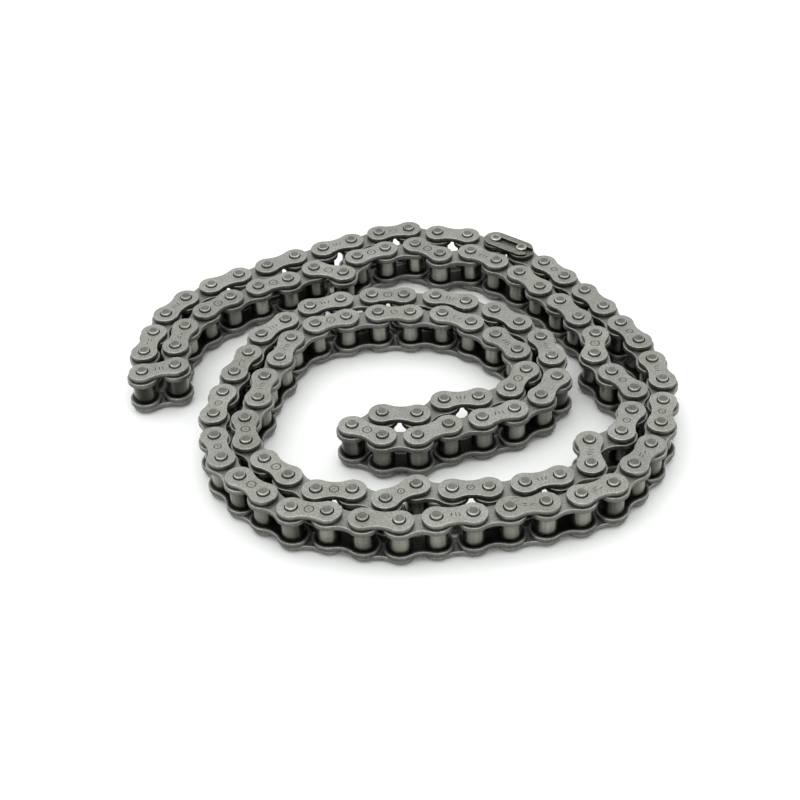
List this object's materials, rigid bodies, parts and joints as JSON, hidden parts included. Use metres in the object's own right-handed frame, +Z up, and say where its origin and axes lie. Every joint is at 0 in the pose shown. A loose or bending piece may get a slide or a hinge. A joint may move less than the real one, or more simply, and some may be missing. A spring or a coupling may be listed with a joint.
{
  "type": "motorcycle drive chain",
  "caption": "Closed roller chain on its side, folded double and coiled, with rollers, riveted links and a connecting link held by a spring clip.",
  "frame": {"origin": "on the surface the chain lies on, under the middle of the coil's box", "axes": "+X along the coil's longest side, +Z up along the pins"},
  "size_m": [0.2064, 0.1907, 0.019],
  "materials": {
    "plates": "satin",
    "rollers": "satin, oiled",
    "bushes": "ground",
    "clip": "satin spring steel"
  },
  "bodies": {
    "inner_fold": {"run_17": "plates", "run_18": "plates", "run_19": "plates", "run_20": "plates"},
    "clip": {"spring_clip": "clip"},
    "connecting": {"connecting_pin_plate": "plates", "connecting_cover_plate": "plates"},
    "inner_a": {"inner_plate_low_a": "plates", "inner_plate_top_a": "plates", "bush_a1": "bushes", "bush_a2": "bushes"},
    "inner_b": {"inner_plate_low_b": "plates", "inner_plate_top_b": "plates", "bush_b1": "bushes", "bush_b2": "bushes"},
    "roller_a1": {"roller_a1": "rollers"},
    "roller_a2": {"roller_a2": "rollers"},
    "roller_b1": {"roller_b1": "rollers"},
    "roller_b2": {"roller_b2": "rollers"},
    "run_01": {"run_01": "plates"},
    "run_02": {"run_02": "plates"},
    "run_03": {"run_03": "plates"},
    "run_04": {"run_04": "plates"},
    "run_05": {"run_05": "plates"},
    "run_06": {"run_06": "plates"},
    "run_07": {"run_07": "plates"},
    "run_08": {"run_08": "plates"},
    "run_09": {"run_09": "plates"},
    "run_10": {"run_10": "plates"},
    "run_11": {"run_11": "plates"},
    "run_12": {"run_12": "plates"},
    "run_13": {"run_13": "plates"},
    "run_14": {"run_14": "plates"},
    "run_15": {"run_15": "plates"},
    "run_16": {"run_16": "plates"},
    "run_21": {"run_21": "plates"},
    "run_22": {"run_22": "plates"},
    "run_23": {"run_23": "plates"},
    "run_24": {"run_24": "plates"},
    "run_25": {"run_25": "plates"},
    "run_26": {"run_26": "plates"},
    "run_27": {"run_27": "plates"},
    "run_28": {"run_28": "plates"},
    "run_29": {"run_29": "plates"},
    "run_30": {"run_30": "plates"},
    "run_31": {"run_31": "plates"},
    "run_32": {"run_32": "plates"},
    "run_33": {"run_33": "plates"},
    "run_34": {"run_34": "plates"},
    "run_35": {"run_35": "plates"},
    "run_36": {"run_36": "plates"},
    "run_37": {"run_37": "plates"},
    "run_38": {"run_38": "plates"},
    "run_39": {"run_39": "plates"},
    "run_40": {"run_40": "plates"},
    "run_41": {"run_41": "plates"},
    "run_42": {"run_42": "plates"},
    "run_43": {"run_43": "plates"},
    "run_44": {"run_44": "plates"},
    "run_45": {"run_45": "plates"}
  },
  "joints": [
    {"name": "bend_run_21", "type": "hinge", "parent": "inner_fold", "child": "run_21", "pos_m": [0.04779, -0.01001, 0.009], "axis": [0, 0, -1], "range_deg": [0, 48.12]},
    {"name": "uncoil", "type": "hinge", "parent": "run_21", "child": "run_22", "pos_m": [0.02905, 0.02176, 0.009], "axis": [0, 0, -1], "range_deg": [0, 49]},
    {"name": "bend_run_23", "type": "hinge", "parent": "run_22", "child": "run_23", "pos_m": [-0.0071, 0.03095, 0.009], "axis": [0, 0, -1], "range_deg": [0, 33.02]},
    {"name": "bend_run_24", "type": "hinge", "parent": "run_23", "child": "run_24", "pos_m": [-0.04098, 0.01639, 0.009], "axis": [0, 0, -1], "range_deg": [0, 21.13]},
    {"name": "bend_run_25", "type": "hinge", "parent": "run_24", "child": "run_25", "pos_m": [-0.0526, -0.01965, 0.009], "axis": [0, 0, -1], "range_deg": [0, 13.66]},
    {"name": "bend_run_26", "type": "hinge", "parent": "run_25", "child": "run_26", "pos_m": [-0.05596, -0.04425, 0.009], "axis": [0, 0, -1], "range_deg": [0, 12.23]},
    {"name": "bend_run_27", "type": "hinge", "parent": "run_26", "child": "run_27", "pos_m": [-0.03056, -0.07226, 0.009], "axis": [0, 0, -1], "range_deg": [0, 14.7]},
    {"name": "bend_run_28", "type": "hinge", "parent": "run_27", "child": "run_28", "pos_m": [0.00433, -0.07209, 0.009], "axis": [0, 0, -1], "range_deg": [0, 15.09]},
    {"name": "bend_run_29", "type": "hinge", "parent": "run_28", "child": "run_29", "pos_m": [0.04199, -0.07371, 0.009], "axis": [0, 0, -1], "range_deg": [0, 13.28]},
    {"name": "bend_run_30", "type": "hinge", "parent": "run_29", "child": "run_30", "pos_m": [0.06585, -0.06529, 0.009], "axis": [0, 0, -1], "range_deg": [0, 9.09]},
    {"name": "bend_run_31", "type": "hinge", "parent": "run_30", "child": "run_31", "pos_m": [0.07868, -0.0484, 0.009], "axis": [0, 0, -1], "range_deg": [0, 9.82]},
    {"name": "bend_run_32", "type": "hinge", "parent": "run_31", "child": "run_32", "pos_m": [0.08644, -0.02439, 0.009], "axis": [0, 0, -1], "range_deg": [0, 12.49]},
    {"name": "bend_run_33", "type": "hinge", "parent": "run_32", "child": "run_33", "pos_m": [0.07633, 0.01041, 0.009], "axis": [0, 0, -1], "range_deg": [0, 20]},
    {"name": "bend_run_34", "type": "hinge", "parent": "run_33", "child": "run_34", "pos_m": [0.05786, 0.04366, 0.009], "axis": [0, 0, -1], "range_deg": [0, 21.04]},
    {"name": "bend_run_35", "type": "hinge", "parent": "run_34", "child": "run_35", "pos_m": [0.03183, 0.07106, 0.009], "axis": [0, 0, -1], "range_deg": [0, 15.22]},
    {"name": "bend_run_36", "type": "hinge", "parent": "run_35", "child": "run_36", "pos_m": [0.00921, 0.07819, 0.009], "axis": [0, 0, -1], "range_deg": [0, 13.66]},
    {"name": "bend_run_37", "type": "hinge", "parent": "run_36", "child": "run_37", "pos_m": [-0.02083, 0.05964, 0.009], "axis": [0, 0, -1], "range_deg": [0, 14.72]},
    {"name": "bend_run_38", "type": "hinge", "parent": "run_37", "child": "run_38", "pos_m": [-0.05511, 0.05249, 0.009], "axis": [0, 0, -1], "range_deg": [0, 13.68]},
    {"name": "bend_run_39", "type": "hinge", "parent": "run_38", "child": "run_39", "pos_m": [-0.08293, 0.02731, 0.009], "axis": [0, 0, -1], "range_deg": [0, 10.67]},
    {"name": "bend_run_40", "type": "hinge", "parent": "run_39", "child": "run_40", "pos_m": [-0.08504, 0.00228, 0.009], "axis": [0, 0, -1], "range_deg": [-20.89, 0]},
    {"name": "bend_run_41", "type": "hinge", "parent": "run_40", "child": "run_41", "pos_m": [-0.09734, -0.00089, 0.009], "axis": [0, 0, -1], "range_deg": [-31.14, 0]},
    {"name": "bend_run_42", "type": "hinge", "parent": "run_41", "child": "run_42", "pos_m": [-0.09115, 0.03633, 0.009], "axis": [0, 0, -1], "range_deg": [-11.66, 0]},
    {"name": "bend_run_43", "type": "hinge", "parent": "run_42", "child": "run_43", "pos_m": [-0.06333, 0.06151, 0.009], "axis": [0, 0, -1], "range_deg": [-12.57, 0]},
    {"name": "bend_run_44", "type": "hinge", "parent": "run_43", "child": "run_44", "pos_m": [-0.02907, 0.07811, 0.009], "axis": [0, 0, -1], "range_deg": [-14.7, 0]},
    {"name": "bend_run_45", "type": "hinge", "parent": "run_44", "child": "run_45", "pos_m": [0.00686, 0.09016, 0.009], "axis": [0, 0, -1], "range_deg": [-12.41, 0]},
    {"name": "bend_inner_a", "type": "hinge", "parent": "run_45", "child": "inner_a", "pos_m": [0.03129, 0.08325, 0.009], "axis": [0, 0, -1], "range_deg": [-7.81, 0]},
    {"name": "bend_connecting", "type": "hinge", "parent": "inner_a", "child": "connecting", "pos_m": [0.04274, 0.07777, 0.009], "axis": [0, 0, -1], "range_deg": [-5.34, 0]},
    {"name": "bend_run_16", "type": "hinge", "parent": "inner_fold", "child": "run_16", "pos_m": [0.02955, -0.03712, 0.009], "axis": [0, 0, -1], "range_deg": [0, 14.5]},
    {"name": "bend_run_15", "type": "hinge", "parent": "run_16", "child": "run_15", "pos_m": [0.05888, -0.01509, 0.009], "axis": [0, 0, -1], "range_deg": [0, 22.75]},
    {"name": "bend_run_14", "type": "hinge", "parent": "run_15", "child": "run_14", "pos_m": [0.05513, 0.00991, 0.009], "axis": [0, 0, -1], "range_deg": [0, 26.33]},
    {"name": "bend_run_13", "type": "hinge", "parent": "run_14", "child": "run_13", "pos_m": [0.02781, 0.03571, 0.009], "axis": [0, 0, -1], "range_deg": [0, 35.06]},
    {"name": "bend_run_12", "type": "hinge", "parent": "run_13", "child": "run_12", "pos_m": [-0.00928, 0.04295, 0.009], "axis": [0, 0, -1], "range_deg": [0, 22.5]},
    {"name": "bend_run_11", "type": "hinge", "parent": "run_12", "child": "run_11", "pos_m": [-0.03392, 0.03711, 0.009], "axis": [0, 0, -1], "range_deg": [0, 13.46]},
    {"name": "bend_run_10", "type": "hinge", "parent": "run_11", "child": "run_10", "pos_m": [-0.05264, 0.01996, 0.009], "axis": [0, 0, -1], "range_deg": [0, 14.69]},
    {"name": "bend_run_09", "type": "hinge", "parent": "run_10", "child": "run_09", "pos_m": [-0.06582, -0.01575, 0.009], "axis": [0, 0, -1], "range_deg": [0, 14.54]},
    {"name": "bend_run_08", "type": "hinge", "parent": "run_09", "child": "run_08", "pos_m": [-0.0644, -0.05307, 0.009], "axis": [0, 0, -1], "range_deg": [0, 13.3]},
    {"name": "bend_run_07", "type": "hinge", "parent": "run_08", "child": "run_07", "pos_m": [-0.03899, -0.08108, 0.009], "axis": [0, 0, -1], "range_deg": [0, 13.22]},
    {"name": "bend_run_06", "type": "hinge", "parent": "run_07", "child": "run_06", "pos_m": [-0.00207, -0.09016, 0.009], "axis": [0, 0, -1], "range_deg": [0, 13.81]},
    {"name": "bend_run_05", "type": "hinge", "parent": "run_06", "child": "run_05", "pos_m": [0.03579, -0.08596, 0.009], "axis": [0, 0, -1], "range_deg": [0, 14.01]},
    {"name": "bend_run_04", "type": "hinge", "parent": "run_05", "child": "run_04", "pos_m": [0.07236, -0.07603, 0.009], "axis": [0, 0, -1], "range_deg": [0, 13.39]},
    {"name": "bend_run_03", "type": "hinge", "parent": "run_04", "child": "run_03", "pos_m": [0.09338, -0.04461, 0.009], "axis": [0, 0, -1], "range_deg": [0, 13.88]},
    {"name": "bend_run_02", "type": "hinge", "parent": "run_03", "child": "run_02", "pos_m": [0.09556, -0.00707, 0.009], "axis": [0, 0, -1], "range_deg": [0, 15.21]},
    {"name": "bend_run_01", "type": "hinge", "parent": "run_02", "child": "run_01", "pos_m": [0.08144, 0.02819, 0.009], "axis": [0, 0, -1], "range_deg": [0, 17.64]},
    {"name": "bend_inner_b", "type": "hinge", "parent": "run_01", "child": "inner_b", "pos_m": [0.06114, 0.06039, 0.009], "axis": [0, 0, -1], "range_deg": [0, 11.79]},
    {"name": "spin_roller_a1", "type": "hinge", "parent": "inner_a", "child": "roller_a1", "pos_m": [0.03129, 0.08325, 0.009], "axis": [0, 0, 1], "continuous": true},
    {"name": "spin_roller_a2", "type": "hinge", "parent": "inner_a", "child": "roller_a2", "pos_m": [0.04274, 0.07777, 0.009], "axis": [0, 0, 1], "continuous": true},
    {"name": "spin_roller_b1", "type": "hinge", "parent": "inner_b", "child": "roller_b1", "pos_m": [0.05268, 0.06986, 0.009], "axis": [0, 0, 1], "continuous": true},
    {"name": "spin_roller_b2", "type": "hinge", "parent": "inner_b", "child": "roller_b2", "pos_m": [0.06114, 0.06039, 0.009], "axis": [0, 0, 1], "continuous": true},
    {"name": "clip_slide", "type": "slide", "parent": "connecting", "child": "clip", "axis": [-0.7823, 0.6229, 0], "range_m": [0, 0.0055]}
  ],
  "couplings": [
    {"joint": "bend_run_21", "follows": "uncoil", "ratio": 0.9821},
    {"joint": "bend_run_23", "follows": "uncoil", "ratio": 0.6739},
    {"joint": "bend_run_24", "follows": "uncoil", "ratio": 0.4313},
    {"joint": "bend_run_25", "follows": "uncoil", "ratio": 0.2787},
    {"joint": "bend_run_26", "follows": "uncoil", "ratio": 0.2495},
    {"joint": "bend_run_27", "follows": "uncoil", "ratio": 0.3},
    {"joint": "bend_run_28", "follows": "uncoil", "ratio": 0.308},
    {"joint": "bend_run_29", "follows": "uncoil", "ratio": 0.2711},
    {"joint": "bend_run_30", "follows": "uncoil", "ratio": 0.1854},
    {"joint": "bend_run_31", "follows": "uncoil", "ratio": 0.2004},
    {"joint": "bend_run_32", "follows": "uncoil", "ratio": 0.2549},
    {"joint": "bend_run_33", "follows": "uncoil", "ratio": 0.4081},
    {"joint": "bend_run_34", "follows": "uncoil", "ratio": 0.4294},
    {"joint": "bend_run_35", "follows": "uncoil", "ratio": 0.3107},
    {"joint": "bend_run_36", "follows": "uncoil", "ratio": 0.2788},
    {"joint": "bend_run_37", "follows": "uncoil", "ratio": 0.3004},
    {"joint": "bend_run_38", "follows": "uncoil", "ratio": 0.2791},
    {"joint": "bend_run_39", "follows": "uncoil", "ratio": 0.2177},
    {"joint": "bend_run_40", "follows": "uncoil", "ratio": -0.4263},
    {"joint": "bend_run_41", "follows": "uncoil", "ratio": -0.6354},
    {"joint": "bend_run_42", "follows": "uncoil", "ratio": -0.2379},
    {"joint": "bend_run_43", "follows": "uncoil", "ratio": -0.2565},
    {"joint": "bend_run_44", "follows": "uncoil", "ratio": -0.3},
    {"joint": "bend_run_45", "follows": "uncoil", "ratio": -0.2533},
    {"joint": "bend_inner_a", "follows": "uncoil", "ratio": -0.1593},
    {"joint": "bend_connecting", "follows": "uncoil", "ratio": -0.109},
    {"joint": "bend_run_16", "follows": "uncoil", "ratio": 0.2959},
    {"joint": "bend_run_15", "follows": "uncoil", "ratio": 0.4642},
    {"joint": "bend_run_14", "follows": "uncoil", "ratio": 0.5374},
    {"joint": "bend_run_13", "follows": "uncoil", "ratio": 0.7156},
    {"joint": "bend_run_12", "follows": "uncoil", "ratio": 0.4591},
    {"joint": "bend_run_11", "follows": "uncoil", "ratio": 0.2746},
    {"joint": "bend_run_10", "follows": "uncoil", "ratio": 0.2998},
    {"joint": "bend_run_09", "follows": "uncoil", "ratio": 0.2968},
    {"joint": "bend_run_08", "follows": "uncoil", "ratio": 0.2715},
    {"joint": "bend_run_07", "follows": "uncoil", "ratio": 0.2697},
    {"joint": "bend_run_06", "follows": "uncoil", "ratio": 0.2819},
    {"joint": "bend_run_05", "follows": "uncoil", "ratio": 0.286},
    {"joint": "bend_run_04", "follows": "uncoil", "ratio": 0.2732},
    {"joint": "bend_run_03", "follows": "uncoil", "ratio": 0.2833},
    {"joint": "bend_run_02", "follows": "uncoil", "ratio": 0.3105},
    {"joint": "bend_run_01", "follows": "uncoil", "ratio": 0.3601},
    {"joint": "bend_inner_b", "follows": "uncoil", "ratio": 0.2405}
  ]
}
